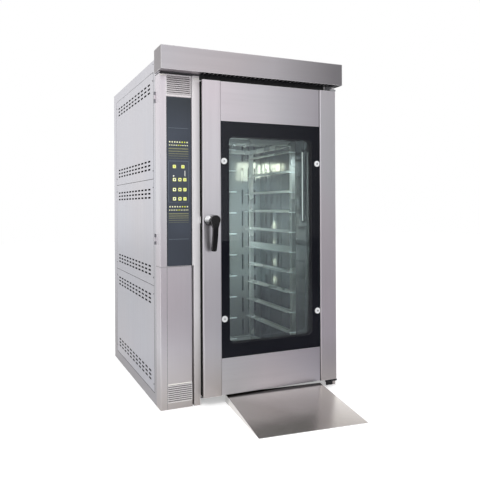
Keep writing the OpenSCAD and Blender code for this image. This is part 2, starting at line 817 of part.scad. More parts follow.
// Lever with hub, neck and spindle, curving towards the door at its end
module handle_lever() color(black) at_floor_centre() {
    neck_back = door_front + housing_in - housing_r - free_gap;
    rod_y([handle_x, hub_back, handle_z], spindle_r, core_front + 4 - hub_back);
    rod_y([handle_x, hub_back - 1, handle_z], neck_r, neck_back - hub_back + 1);
    rod_y([handle_x, hub_front + 3, handle_z], hub_r, hub_back - hub_front - 3);
    translate([handle_x, hub_front + 3, handle_z]) rotate([90, 0, 0])
        cylinder(h = 3, r1 = hub_r, r2 = hub_r - 3);
    intersection() {
        side_plate(handle_x - 30, handle_x + 30) difference() {
            translate([lever_y + lever_curve, handle_z - 24]) circle(lever_curve + lever_t / 2, $fn = 180);
            translate([lever_y + lever_curve, handle_z - 24]) circle(lever_curve - lever_t / 2, $fn = 180);
        }
        face_plate(lever_y - 20, lever_y + 60) {
            polygon([[handle_x - hub_r + 3, handle_z - 12], [handle_x - lever_w / 2, handle_z - 44],
                [handle_x - lever_w / 2 + 1, handle_z - lever_l + 8],
                [handle_x + lever_w / 2 - 1, handle_z - lever_l + 8],
                [handle_x + lever_w / 2, handle_z - 44], [handle_x + hub_r - 3, handle_z - 12]]);
            round_rect([handle_x - lever_w / 2 + 1, handle_z - lever_l],
                [handle_x + lever_w / 2 - 1, handle_z - lever_l + 20], 7);
        }
    }
}

module latch_bolt() color(bright) at_floor_centre() {
    slab([bolt_x[0], bolt_y[0], handle_z - bolt_half], [bolt_x[1], bolt_y[1], handle_z + bolt_half]);
}

module control_shell() color(steel) at_floor_centre() {
    z0 = door_split;
    edge = column_w - sheet;
    difference() {
        translate([0, 0, z0]) linear_extrude(control_top - z0) channel(column_w, column_d, 60, 5, sheet);
        slab([corner_w, -1, z0 + sheet], [edge, fascia_t, control_top - sheet]);
    }
    // Caps and the ledges behind the fascia and the louvre
    for (z = [z0, control_top - sheet]) slab([sheet, 1, z], [edge, 60, z + sheet]);
    slab([corner_w - 7, sheet, z0], [corner_w, fascia_t + sheet, control_top]);
    slab([corner_w - 7, fascia_t, z0], [corner_w + 7, fascia_t + sheet, control_top]);
    slab([edge - 7, fascia_t, z0], [edge, fascia_t + sheet, control_top]);
    slab([corner_w, fascia_t, fascia_top - 6], [edge, fascia_t + sheet, fascia_top + 8]);
    // Carrier of the circuit board behind the keys
    for (x = [corner_w + 2, edge - 7])
        slab([x, fascia_t, board_z[0]], [x + 5, fascia_t + 7, board_z[1]]);
    slab([corner_w + 2, fascia_t + 6, board_z[0]], [edge - 2, fascia_t + 8, board_z[1]]);
    // Hinge leaves with the middle knuckle
    for (z = hinge_z) {
        slab([-2, column_d - 3 - leaf_w, z - hinge_half], [0, column_d - 5, z + hinge_half]);
        slab([-2, column_d - 6, z - knuckle_l / 2 + free_gap],
            [0, column_d - 1, z + knuckle_l / 2 - free_gap]);
        difference() {
            rod_z([control_hinge[0], control_hinge[1], z - 11 + free_gap], knuckle_r, 22 - 2 * free_gap);
            rod_z([control_hinge[0], control_hinge[1], z - 12], 1.5 + run_gap, 24);
        }
    }
}

module upper_louvre() color(steel) at_floor_centre() {
    z0 = fascia_top + 3;
    first = z0 + 12;
    difference() {
        slab([corner_w + 0.6, 0, z0], [column_w - sheet - 0.4, fascia_t, control_top - sheet - 0.6]);
        slab([louvre_x[0], -1, first - 1], [louvre_x[1], fascia_t + 1, first + 9 * blade_pitch]);
    }
    blades(louvre_x[0] - blade_tuck, louvre_x[1] + blade_tuck, first, 9);
}

module fascia() color(slate) at_floor_centre() {
    half = key_w / 2 + key_gap;
    face_plate(0, fascia_t) difference() {
        rect([corner_w + 0.6, door_split + sheet + 0.6], [column_w - sheet - 0.4, fascia_top]);
        for (p = key_at) round_rect(p - [half, half], p + [half, half], 3);
    }
}

module key(k) color(key_yellow) at_floor_centre() {
    half = key_w / 2;
    p = key_at[k - 1];
    face_plate(-key_up, fascia_t + free_gap + 0.1) round_rect(p - [half, half], p + [half, half], 3);
    face_plate(fascia_t + free_gap, fascia_t + free_gap + key_flange)
        rect(p - [half + 1.5, half + 1.5], p + [half + 1.5, half + 1.5]);
}
module key_1() key(1);
module key_2() key(2);
module key_3() key(3);
module key_4() key(4);
module key_5() key(5);
module key_6() key(6);
module key_7() key(7);
module key_8() key(8);
module key_9() key(9);
module key_10() key(10);
module key_11() key(11);

// Shaft with the J-shaped hangers that carry the rack's top bar
module drive_hook() color(bright) at_floor_centre() {
    disc_z = rack_top + hanger_z;
    rod_z([rack_c[0], rack_c[1], disc_z], drive_r, chamber_h + liner_t + shaft_up - disc_z);
    rod_z([rack_c[0], rack_c[1], disc_z - 8], hanger_r, 10);
    for (x = [-44, 36])
        side_plate(rack_c[0] + x, rack_c[0] + x + 8)
            polygon([[rack_c[1] - 14, hook_z], [rack_c[1] + 28, hook_z], [rack_c[1] + 28, disc_z - 7],
                [rack_c[1] + 16, disc_z - 7], [rack_c[1] + 16, rack_top], [rack_c[1] - 8, rack_top],
                [rack_c[1] - 8, rack_top + 4], [rack_c[1] - 14, rack_top + 4]]);
}

// Square tube along Z, X or Y, drawn from its lower corner
module box_tube(a, b) {
    slab([rack_c[0] + a[0], rack_c[1] + a[1], a[2]], [rack_c[0] + b[0], rack_c[1] + b[1], b[2]]);
}

module rack_frame() color(bright) at_floor_centre() {
    for (sx = [-1, 1]) {
        x0 = sx > 0 ? half_w - tube : -half_w;
        for (sy = [-1, 1]) {
            y0 = sy > 0 ? half_d - tube : -half_d;
            difference() {
                box_tube([x0, y0, base_z], [x0 + tube, y0 + tube, rack_top]);
                box_tube([x0 + 2, y0 + 2, rack_top - 40], [x0 + tube - 2, y0 + tube - 2, rack_top + 1]);
            }
        }
        for (z = [base_z, 0.5 * (base_z + rack_top), rack_top - tube])
            box_tube([x0, tube - half_d, z], [x0 + tube, half_d - tube, z + tube]);
    }
    for (y0 = [-half_d, half_d - tube])
        box_tube([tube - half_w, y0, base_z], [half_w - tube, y0 + tube, base_z + tube]);
    for (y0 = [-half_d, half_d - tube])
        box_tube([tube - half_w, y0, rack_top - tube], [half_w - tube, y0 + tube, rack_top]);
    // Bar that hangs in the hooks, and the rear stop of the trays
    box_tube([tube - half_w, -8, rack_top], [half_w - tube, 16, rack_top + 20]);
    for (x = [-half_w + tube / 2, half_w - tube / 2 - 25])
        box_tube([x, -8, rack_top], [x + 25, 16, rack_top + 4]);
    box_tube([-3, half_d - 9, base_z + tube], [3, half_d - 3, rack_top - tube]);
    // Castor forks
    for (sx = [-1, 1]) for (sy = [-1, 1]) castor_fork(sx * castor[0], sy * castor[1]);
}

module castor_fork(x, y) {
    cheek = wheel_t / 2 + 2;
    box_tube([x - 30, y - 30, fork_top - 6], [x + 30, y + 30, fork_top]);
    for (s = [-1, 1]) {
        x0 = x + (s > 0 ? cheek : -cheek - 3);
        box_tube([x0, y - 14, wheel_z - 10], [x0 + 3, y + 14, fork_top - 5]);
    }
    rod_x([rack_c[0] + x - cheek - 3, rack_c[1] + y, wheel_z], axle_r, 2 * cheek + 6);
}

module rack_rails() color(bright) at_floor_centre() {
    inner = half_w - tube;
    for (k = [0:levels - 1]) {
        z = level_z + k * level_pitch;
        for (s = [-1, 1]) {
            flat = s > 0 ? [inner - rail_w, inner] : [-inner, rail_w - inner];
            stand = s > 0 ? [inner - 2, inner] : [-inner, 2 - inner];
            box_tube([flat[0], 10 - half_d, z], [flat[1], half_d - 10, z + 2]);
            box_tube([stand[0], 10 - half_d, z], [stand[1], half_d - 10, z + 15]);
        }
    }
}

module wheel(sx, sy) color(black) at_floor_centre() {
    translate([rack_c[0] + sx * castor[0] - wheel_t / 2, rack_c[1] + sy * castor[1], wheel_z])
        rotate([0, 90, 0]) rotate_extrude($fn = 64)
            polygon([[axle_r + run_gap, 0], [14, 0], [16, 4], [wheel_r - 10, 4], [wheel_r - 7, 1],
                [wheel_r - 2, 2], [wheel_r, 6], [wheel_r, wheel_t - 6], [wheel_r - 2, wheel_t - 2],
                [wheel_r - 7, wheel_t - 1], [wheel_r - 10, wheel_t - 4], [16, wheel_t - 4],
                [14, wheel_t], [axle_r + run_gap, wheel_t]]);
}
module wheel_front_left() wheel(-1, -1);
module wheel_front_right() wheel(1, -1);
module wheel_rear_left() wheel(-1, 1);
module wheel_rear_right() wheel(1, 1);

// Sheet ramp with folded sides, open underneath
module ramp() color(steel) at_floor_centre() {
    rear = [rack_c[0] + 2, -34];
    translate([rear[0], rear[1], 0]) rotate(ramp_turn) difference() {
        side_plate(-ramp_w / 2, ramp_w / 2)
            polygon([[-ramp_l, 0], [0, 0], [0, ramp_h], [-4, ramp_h], [-ramp_l, 2]]);
        side_plate(sheet - ramp_w / 2, ramp_w / 2 - sheet)
            polygon([[1 - ramp_l * 0.95, -1], [-sheet, -1], [-sheet, ramp_h - sheet - 0.4],
                [-4, ramp_h - sheet - 0.4], [-ramp_l * 0.95, 1.6]]);
    }
}

base_frame();
left_frame();
left_panel_lower();
left_panel_middle();
left_panel_upper();
right_side_panel();
back_panel();
roof_panel();
door_frame();
column_panel();
hood();
hood_grille();
chamber_liner();
duct_panel();
floor_pan();
heating_element();
lamp_tube();
gearmotor();
top_hinge_bracket();
bottom_hinge_bracket();
latch_keeper();
fan_motor();
control_hinges();
fan_wheel();
door_stile_left();
door_stile_right();
door_rail_top();
door_rail_bottom();
outer_glass();
glass_border();
inner_glass();
door_core();
door_inner_frame();
glass_fasteners();
door_gasket();
latch_housing();
handle_lever();
latch_bolt();
control_shell();
upper_louvre();
fascia();
key_1();
key_2();
key_3();
key_4();
key_5();
key_6();
key_7();
key_8();
key_9();
key_10();
key_11();
drive_hook();
rack_frame();
rack_rails();
wheel_front_left();
wheel_front_right();
wheel_rear_left();
wheel_rear_right();
ramp();
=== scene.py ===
"""Looks of a single-trolley rotary rack oven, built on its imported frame.

Lengths are in metres. The frame's origin is on the floor, at the middle of the cabinet's
footprint; X runs right along the front, Y runs back and Z runs up.
"""

import math

import bmesh
import bpy
from mathutils import Matrix, Vector


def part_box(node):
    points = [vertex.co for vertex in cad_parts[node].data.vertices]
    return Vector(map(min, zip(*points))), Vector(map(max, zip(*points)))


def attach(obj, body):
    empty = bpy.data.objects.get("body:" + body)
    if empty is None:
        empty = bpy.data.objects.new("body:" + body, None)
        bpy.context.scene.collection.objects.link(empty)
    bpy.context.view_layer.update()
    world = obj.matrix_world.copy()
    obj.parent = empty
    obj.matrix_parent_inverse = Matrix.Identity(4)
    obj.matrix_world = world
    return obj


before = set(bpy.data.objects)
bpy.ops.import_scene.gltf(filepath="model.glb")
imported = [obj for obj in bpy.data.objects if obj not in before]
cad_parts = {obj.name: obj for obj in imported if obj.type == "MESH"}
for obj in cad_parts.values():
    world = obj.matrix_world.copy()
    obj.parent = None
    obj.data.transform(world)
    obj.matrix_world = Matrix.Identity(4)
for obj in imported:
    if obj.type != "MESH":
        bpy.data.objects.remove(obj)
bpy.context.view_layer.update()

MM = 0.001

# The cabinet's left side, front and back, and the left edge of the post beside the door
LEFT_X, FRONT_Y = -0.540, -0.6
BACK_Y = FRONT_Y + 1.2
POST_X = LEFT_X + 0.1862
SIDE_PANELS = ("left_panel_lower", "left_panel_middle", "left_panel_upper")
# Heights of the rack's lowest and highest rails, and the number of its levels
RAIL_LOW, RAIL_TOP, RAIL_LEVELS = 0.306, 1.394, 10
# Louvre of the column: height of its lowest blade, step from blade to blade, and their number
LOUVRE_LOW, LOUVRE_PITCH, LOUVRE_BLADES = 0.037, 0.0106, 9
KEY_COUNT = 11

# Print on the control film: heights of its lines, of the keypad's outline, of the rows of dots
# (each with its number of dots and half a dot's size in millimetres) and of the bars
INK = 0.25 * MM
FASCIA_LINES = (1.487, 0.898)
KEYPAD_LOW, KEYPAD_TOP = 1.094, 1.312
DOT_ROWS = ((1.413, 8, 3.7), (1.396, 11, 2.6), (1.070, 8, 3.5), (1.0525, 12, 2.4))
BAR_GROUPS = (
    ("upper", (1.378, 1.364, 1.351, 1.339, 1.327)),
    ("lower", (1.033, 1.021, 1.010, 0.998, 0.987)),
)

# Camera, fitted to the photograph
CAMERA_AT = (-1.335, -3.448, 1.070)
CAMERA_TURN = math.radians(-23.76)
CAMERA_ROLL = math.radians(-0.27)
CAMERA_LENS = 41.94
CAMERA_SENSOR = 36.0
CAMERA_SHIFT_Y = -0.0699

# Brightness of the studio in metal and glass, by degrees from the front towards the right
STUDIO = (
    (-180, 1.0), (-60, 1.0), (0, 1.1), (15, 1.22), (21, 1.16), (27, 0.86),
    (33, 0.38), (40, 0.14), (58, 0.30), (85, 1.1), (180, 1.0),
)
# Brightness of the studio for matt surfaces
STUDIO_LEVEL = 0.72
# Half the side of the floor
FLOOR_HALF = 14.0

# Colours, as linear red, green and blue
STEEL_WARM = (0.74, 0.675, 0.725)
STEEL_COOL = (0.69, 0.695, 0.73)
# Colour of the painted highlight on sharp edges
EDGE_SHINE = (0.96, 0.95, 0.96)
LINING = (0.44, 0.46, 0.48)
CHROME = (0.88, 0.88, 0.90)
FILM_TEAL = (0.015, 0.020, 0.026)
FILM_SLATE = (0.044, 0.055, 0.078)
KEY_YELLOW = (0.62, 0.66, 0.06)
KEY_PALE = (0.84, 0.85, 0.62)
INK_CREAM = (0.76, 0.76, 0.48)
INK_OLIVE = (0.23, 0.235, 0.13)
INK_BLUE = (0.15, 0.18, 0.22)
INK_PALE = (0.86, 0.87, 0.80)
WHITE = (1, 1, 1)
COOL_LIGHT = (0.90, 0.96, 1.0)
WARM_LIGHT = (1.0, 0.93, 0.74)

# Hidden lights: name, place, point that it faces, width and height, watts, colour, and the
# angle in degrees over which it spreads
LIGHTS = (
    ("key", (-2.4, -3.4, 3.6), (0.0, -0.2, 0.8), (2.6, 2.2), 95, WHITE, 180),
    ("fill", (3.4, -2.6, 2.4), (0.1, 0.0, 0.9), (2.4, 2.4), 40, WHITE, 180),
    # Lamp light inside the chamber
    ("front_glow", (0.02, -0.49, 1.36), (0.20, 0.10, 0.6), (0.60, 0.08), 2.0, COOL_LIGHT, 120),
    ("left_glow", (-0.25, -0.55, 1.06), (0.25, 0.38, 1.00), (0.06, 0.9), 3.8, COOL_LIGHT, 76),
    ("rear_glow", (0.02, 0.24, 1.05), (0.50, 0.22, 1.05), (0.05, 0.8), 0.5, COOL_LIGHT, 180),
)

# Bright bays that the rear right corner of the chamber mirrors:
# X, Y, Z, width, height, the direction in X that each one faces, and watts per square metre
BAYS = (
    (0.460, 0.040, 1.347, 0.032, 0.144, -0.42, 0.5),
    (0.470, 0.164, 1.340, 0.070, 0.141, -0.42, 0.5),
    (0.488, 0.205, 1.342, 0.023, 0.133, 0.42, 2.4),
    (0.448, 0.211, 1.343, 0.023, 0.102, 0.43, 2.6),
    (0.388, 0.214, 1.355, 0.055, 0.094, 0.44, 3.2),
    (0.348, 0.248, 1.366, 0.016, 0.070, 0.45, 4.5),
    (0.340, 0.335, 1.367, 0.050, 0.054, 0.47, 4.5),
    (0.346, 0.264, 0.918, 0.012, 0.072, 0.46, 2.8),
    (0.346, 0.264, 0.781, 0.010, 0.056, 0.46, 2.2),
    (0.342, 0.264, 0.637, 0.010, 0.046, 0.46, 3.0),
    (0.342, 0.264, 0.500, 0.012, 0.040, 0.46, 3.4),
)
# Angle in degrees over which a bay's light spreads
BAY_SPREAD = 50


# ---------------------------------------------------------------- materials


class Nodes:
    """A node tree, with short ways to add to it. An input is a socket to link or plain numbers."""

    def __init__(self, tree):
        self.tree = tree

    def feed(self, socket, value):
        if isinstance(value, bpy.types.NodeSocket):
            self.tree.links.new(value, socket)
        elif socket.type == "RGBA":
            socket.default_value = (*value, 1)
        else:
            socket.default_value = value

    def add(self, kind, settings=None, **inputs):
        node = self.tree.nodes.new(kind)
        for key, value in (settings or {}).items():
            setattr(node, key, value)
        for key, value in inputs.items():
            self.feed(node.inputs[key.replace("_", " ")], value)
        return node

    def math(self, operation, first, second):
        node = self.add("ShaderNodeMath", {"operation": operation})
        self.feed(node.inputs[0], first)
        self.feed(node.inputs[1], second)
        return node.outputs[0]

    def vector(self, operation, first, second):
        node = self.add("ShaderNodeVectorMath", {"operation": operation})
        self.feed(node.inputs[0], first)
        self.feed(node.inputs[1], second)
        return node.outputs["Value" if operation == "DOT_PRODUCT" else "Vector"]

    def spread(self, value, low, high, start=0.3, end=0.7):
        """Runs from low to high as the value goes from start to end."""
        node = self.add("ShaderNodeMapRange", Value=value)
        for key, number in zip(("From Min", "From Max", "To Min", "To Max"), (start, end, low, high)):
            node.inputs[key].default_value = number
        return node.outputs[0]


class Shader(Nodes):
    """A node material around one Principled shader."""

    def __init__(self, name, **sockets):
        self.material = bpy.data.materials.new(name)
        self.material.use_nodes = True
        super().__init__(self.material.node_tree)
        self.surface = self.tree.nodes["Principled BSDF"]
        self.place = self.add("ShaderNodeTexCoord").outputs["Object"]
        for key, value in sockets.items():
            self.put(key.replace("_", " "), value)

    def put(self, name, value):
        """Sets or links an input of the Principled shader."""
        names = {socket.name.lower(): socket for socket in self.surface.inputs}
        self.feed(names[name.lower()], value)

    def noise(self, stretch, detail=2.0, roughness=0.5, distortion=0.0):
        """Noise in object space, with so many grains per metre along each axis."""
        mapping = self.add("ShaderNodeMapping", Vector=self.place, Scale=stretch)
        node = self.add(
            "ShaderNodeTexNoise",
            Vector=mapping.outputs[0],
            Scale=1.0,
            Detail=detail,
            Roughness=roughness,
            Distortion=distortion,
        )
        return node.outputs["Fac"]

    def along(self, axis):
        """Place of a point along an axis, in metres."""
        return self.add("ShaderNodeSeparateXYZ", Vector=self.place).outputs[axis]

    def facing(self, axis):
        """How far the surface faces along an axis, from -1 to 1."""
        normal = self.add("ShaderNodeNewGeometry").outputs["Normal"]
        return self.add("ShaderNodeSeparateXYZ", Vector=normal).outputs[axis]

    def blend(self, share, first, second):
        """A colour that goes from the first to the second as the share goes from 0 to 1."""
        node = self.add("ShaderNodeMix", {"data_type": "RGBA"})
        self.feed(node.inputs["Factor"], share)
        self.feed(node.inputs[6], first)
        self.feed(node.inputs[7], second)
        return node.outputs[2]

    def bump(self, height, distance, strength, normal=None):
        node = self.add("ShaderNodeBump", Height=height, Distance=distance, Strength=strength)
        if normal is not None:
            self.feed(node.inputs["Normal"], normal)
        return node.outputs[0]

    def edges(self, radius):
        """How close a point lies to a sharp edge, from 0 to 1."""
        rounded = self.add("ShaderNodeBevel", {"samples": 4}, Radius=radius).outputs[0]
        flat = self.add("ShaderNodeNewGeometry").outputs["Normal"]
        return self.spread(self.vector("DOT_PRODUCT", rounded, flat), 1.0, 0.0, 0.86, 0.995)


# Brushed steel: grains and streaks per metre in X, Y and Z, by the axis that they run along
GRAIN = {"x": (6, 900, 900), "z": (900, 900, 6)}
STREAK = {"x": (1.2, 60, 60), "z": (60, 60, 1.2)}


def brushed(name, grain="z", roughness=0.33, cool=STEEL_COOL, warm=STEEL_WARM, edge_highlight=True,
            end_shade=None, metallic=1.0, fade=None):
    """Brushed sheet steel: fine grain along one axis, cloudy tint, slack sheet and a painted highlight
    on the edges.

    end_shade is the colour of a painted shade on faces that look left. fade names an axis, where a
    painted shade starts and ends along it, and the colour that it ends in.
    """
    shader = Shader(name, metallic=metallic)
    fine = shader.noise(GRAIN[grain], detail=3.0)
    streak = shader.noise(STREAK[grain], detail=3.0, roughness=0.6)
    cloud = shader.noise((1.7, 1.7, 1.1), detail=1.5)
    tint = shader.blend(shader.spread(cloud, 0.0, 1.0), cool, warm)
    dark = tuple(0.68 * (a + b) / 2 for a, b in zip(cool, warm))
    colour = shader.blend(shader.spread(streak, 0.0, 0.10), tint, dark)
    # Painted shade along an axis
    if fade:
        axis, start, end, shade = fade
        share = shader.spread(shader.along(axis), 0.0, 1.0, start, end)
        colour = shader.blend(share, colour, shade)
    # Painted shade on faces that look left
    if end_shade:
        share = shader.spread(shader.facing("X"), 0.0, 1.0, -0.6, -0.9)
        colour = shader.blend(share, colour, end_shade)
    # Painted highlight on the edges
    if edge_highlight:
        colour = shader.blend(shader.edges(0.004), colour, EDGE_SHINE)
    shader.put("Base Color", colour)
    rough_grain = shader.spread(fine, -0.05, 0.05)
    rough_streak = shader.spread(streak, roughness - 0.02, roughness + 0.03)
    shader.put("Roughness", shader.math("ADD", rough_grain, rough_streak))
    slack = shader.bump(shader.noise((1.3, 1.3, 0.9), detail=0.5), 0.012, 0.35)
    shader.put("Normal", shader.bump(fine, 0.00012, 0.5, slack))
    return shader.material


def ramp_steel():
    """Mill-finish steel of the ramp, with scuffs and soft cloudy bands of painted light."""
    shader = Shader("ramp_steel", metallic=0.8)
    cloud = shader.noise((2.6, 1.8, 2.0), detail=2.0, distortion=0.6)
    scuff = shader.noise((34, 240, 60), detail=4.0, roughness=0.7)
    # Painted light, lighter towards the rear right corner
    across = shader.vector("DOT_PRODUCT", shader.place, (0.5, 0.5, 0.0))
    painted_light_band = shader.spread(across, 0.0, 1.0, -0.47, -0.20)
    share = shader.math("ADD", painted_light_band, shader.spread(cloud, -0.16, 0.16))
    colour = shader.blend(share, (0.46, 0.425, 0.40), (0.93, 0.88, 0.85))
    colour = shader.blend(shader.spread(scuff, 0.0, 0.25), colour, (0.46, 0.43, 0.40))
    # Painted highlight on the edges
    colour = shader.blend(shader.edges(0.004), colour, EDGE_SHINE)
    # Painted shadow along the rear edge, under the door, and a painted glow on the folded side that faces
    # left
    rearward = shader.vector("DOT_PRODUCT", shader.place, (0.05, 1.0, 0.0))
    rear = shader.spread(rearward, 0.0, 1.0, -0.686, -0.670)
    shader.put("Base Color", shader.blend(rear, colour, (0.035, 0.030, 0.028)))
    painted_side_glow = shader.facing("X")
    shader.put("Emission Color", (1.0, 0.99, 0.98))
    shader.put("Emission Strength", shader.spread(painted_side_glow, 0.0, 0.38, -0.5, -0.9))
    shader.put("Roughness", shader.spread(scuff, 0.17, 0.27))
    slack = shader.bump(cloud, 0.006, 0.3)
    shader.put("Normal", shader.bump(scuff, 0.0001, 0.4, slack))
    return shader.material


def lining_steel(name, colour, roughness, metallic):
    """Bright steel inside the chamber, dulled by heat."""
    shader = Shader(name, metallic=metallic)
    cloud = shader.noise((3.0, 3.0, 2.0), detail=3.0)
    heat = tuple(c * f for c, f in zip(colour, (0.86, 0.80, 0.70)))
    shader.put("Base Color", shader.blend(shader.spread(cloud, 0.0, 0.8), colour, heat))
    shader.put("Roughness", shader.spread(cloud, roughness - 0.05, roughness + 0.08))
    shader.put("Normal", shader.bump(shader.noise((40, 40, 3), detail=2.0), 0.0004, 0.3))
    return shader.material


def plain_metal(name, colour, roughness, fleck=220.0, edge_highlight=0.0, underside_shade=None):
    """Plated or bare metal with fine flecks and, where asked, a painted highlight on the edges and a
    painted shade on faces that look down.
    """
    shader = Shader(name, metallic=1.0)
    grains = shader.noise((fleck, fleck, fleck), detail=2.0)
    dim = tuple(c * 0.82 for c in colour)
    tint = shader.blend(shader.spread(grains, 0.0, 0.6), colour, dim)
    # Painted highlight on the edges
    if edge_highlight:
        tint = shader.blend(shader.math("MULTIPLY", shader.edges(0.0015), edge_highlight), tint, EDGE_SHINE)
    # Painted shade on faces that look down
    if underside_shade:
        share = shader.spread(shader.facing("Z"), 0.0, 1.0, 0.15, -0.35)
        tint = shader.blend(share, tint, underside_shade)
    shader.put("Base Color", tint)
    shader.put("Roughness", shader.spread(grains, roughness * 0.8, roughness * 1.25))
    shader.put("Normal", shader.bump(grains, 0.00005, 0.25))
    return shader.material


def painted(name, colour, roughness, orange_peel=0.0004, edge_highlight=0.25, gloss=0.5, glow=0.0):
    """Stove enamel or powder coat over steel, lighter at the edges as a painted highlight.

    A glow stands for the light that the glass in front of the enamel would scatter.
    """
    shader = Shader(name, metallic=0.0, specular_IOR_level=gloss, emission_color=colour,
                    emission_strength=glow)
    peel = shader.noise((320, 320, 320), detail=1.5)
    dust = shader.noise((9, 9, 5), detail=3.0)
    lighter = tuple(min(1.0, c * 1.35 + 0.02 * c ** 0.5) for c in colour)
    tint = shader.blend(shader.spread(dust, 0.0, 0.7), colour, lighter)
    # Painted highlight on the edges
    edge_highlight_share = shader.math("MULTIPLY", shader.edges(0.0012), edge_highlight)
    shader.put("Base Color", shader.blend(edge_highlight_share, tint, (0.42, 0.42, 0.43)))
    shader.put("Roughness", shader.spread(dust, roughness - 0.05, roughness + 0.08))
    shader.put("Normal", shader.bump(peel, orange_peel, 0.2))
    return shader.material


def moulded(name, colour, roughness, grain=900.0, gloss=0.5):
    """Moulded plastic or rubber with a fine skin."""
    shader = Shader(name, metallic=0.0, specular_IOR_level=gloss)
    skin = shader.noise((grain, grain, grain), detail=1.5)
    wear = shader.noise((26, 26, 26), detail=3.0)
    lighter = tuple(min(1.0, c * 1.5 + 0.004) for c in colour)
    shader.put("Base Color", shader.blend(shader.spread(wear, 0.0, 0.5), colour, lighter))
    shader.put("Roughness", shader.spread(wear, roughness - 0.05, roughness + 0.09))
    shader.put("Normal", shader.bump(skin, 0.00008, 0.35))
    return shader.material


def pane(name, colour):
    """Clear heat-resisting glass, faintly wiped."""
    shader = Shader(name, transmission_weight=1.0, ior=1.39, metallic=0.0,
                    specular_tint=(0.86, 0.87, 0.97))
    wipe = shader.noise((5, 5, 2), detail=3.0, distortion=0.8)
    dim = tuple(c * 0.96 for c in colour)
    shader.put("Base Color", shader.blend(shader.spread(wipe, 0.0, 1.0), colour, dim))
    shader.put("Roughness", shader.spread(wipe, 0.0, 0.02))
    return shader.material


def keeper_paint(post, edge_x):
    """Strike plate in the post's colour, and black inside the gap beside the door as a painted shade."""
    shader = Shader("keeper_paint", metallic=0.1, roughness=0.45)
    along = shader.along("X")
    cloud = shader.noise((90, 90, 90), detail=2.0)
    tint = shader.blend(shader.spread(cloud, 0.0, 0.4), post, tuple(c * 0.9 for c in post))
    # Painted shade: black inside the gap beside the door
    inside = shader.spread(along, 0.0, 1.0, edge_x, edge_x + 0.0004)
    shader.put("Base Color", shader.blend(inside, tint, (0.003, 0.003, 0.003)))
    return shader.material


def film(name, low, high):
    """Satin control film, darker at its top and at its bottom."""
    shader = Shader(name, metallic=0.0)
    cloud = shader.noise((5, 5, 3), detail=1.0)
    skin = shader.noise((1400, 1400, 1400), detail=1.0)
    height = shader.along("Z")
    tint = shader.blend(shader.spread(height, 0.0, 1.0, 1.62, 1.46), low, high)
    dim = tuple(c * 0.7 for c in high)
    tint = shader.blend(shader.spread(height, 0.0, 1.0, 0.96, 0.88), tint, dim)
    shader.put("Base Color", shader.blend(shader.spread(cloud, 0.0, 0.6), tint, dim))
    shader.put("Roughness", shader.spread(cloud, 0.30, 0.42))
    shader.put("Normal", shader.bump(skin, 0.00003, 0.3))
    return shader.material


def lit(name, colour, glow, roughness=0.4):
    """Printed or moulded colour with a faint painted glow."""
    shader = Shader(name, metallic=0.0, roughness=roughness, emission_strength=glow)
    cloud = shader.noise((120, 120, 120), detail=2.0)
    dim = tuple(c * 0.8 for c in colour)
    tint = shader.blend(shader.spread(cloud, 0.0, 1.0), colour, dim)
    shader.put("Base Color", tint)
    # Painted glow
    shader.put("Emission Color", tint)
    return shader.material


def lamp_glass():
    """Frosted lamp tube that shines along a narrow line towards the chamber."""
    shader = Shader("lamp_glow", metallic=0.0, roughness=0.3, base_color=(0.20, 0.22, 0.22))
    low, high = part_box("lamp_tube")
    axis = ((low.x + high.x) / 2, (low.y + high.y) / 2, 0.0)
    offset = shader.vector("SUBTRACT", shader.place, axis)
    # How far a point stands out from the tube's axis, on the side that shines
    across = shader.vector("DOT_PRODUCT", offset, (-0.50, -0.87, 0.0))
    line = shader.spread(across, 0.0, 0.9, 0.0071, 0.0079)
    frost = shader.spread(shader.noise((300, 300, 60), detail=1.0), 0.0, 0.4)
    shader.put("Emission Color", shader.blend(frost, (1.0, 1.0, 0.97), (0.86, 0.88, 0.86)))
    shader.put("Emission Strength", line)
    return shader.material


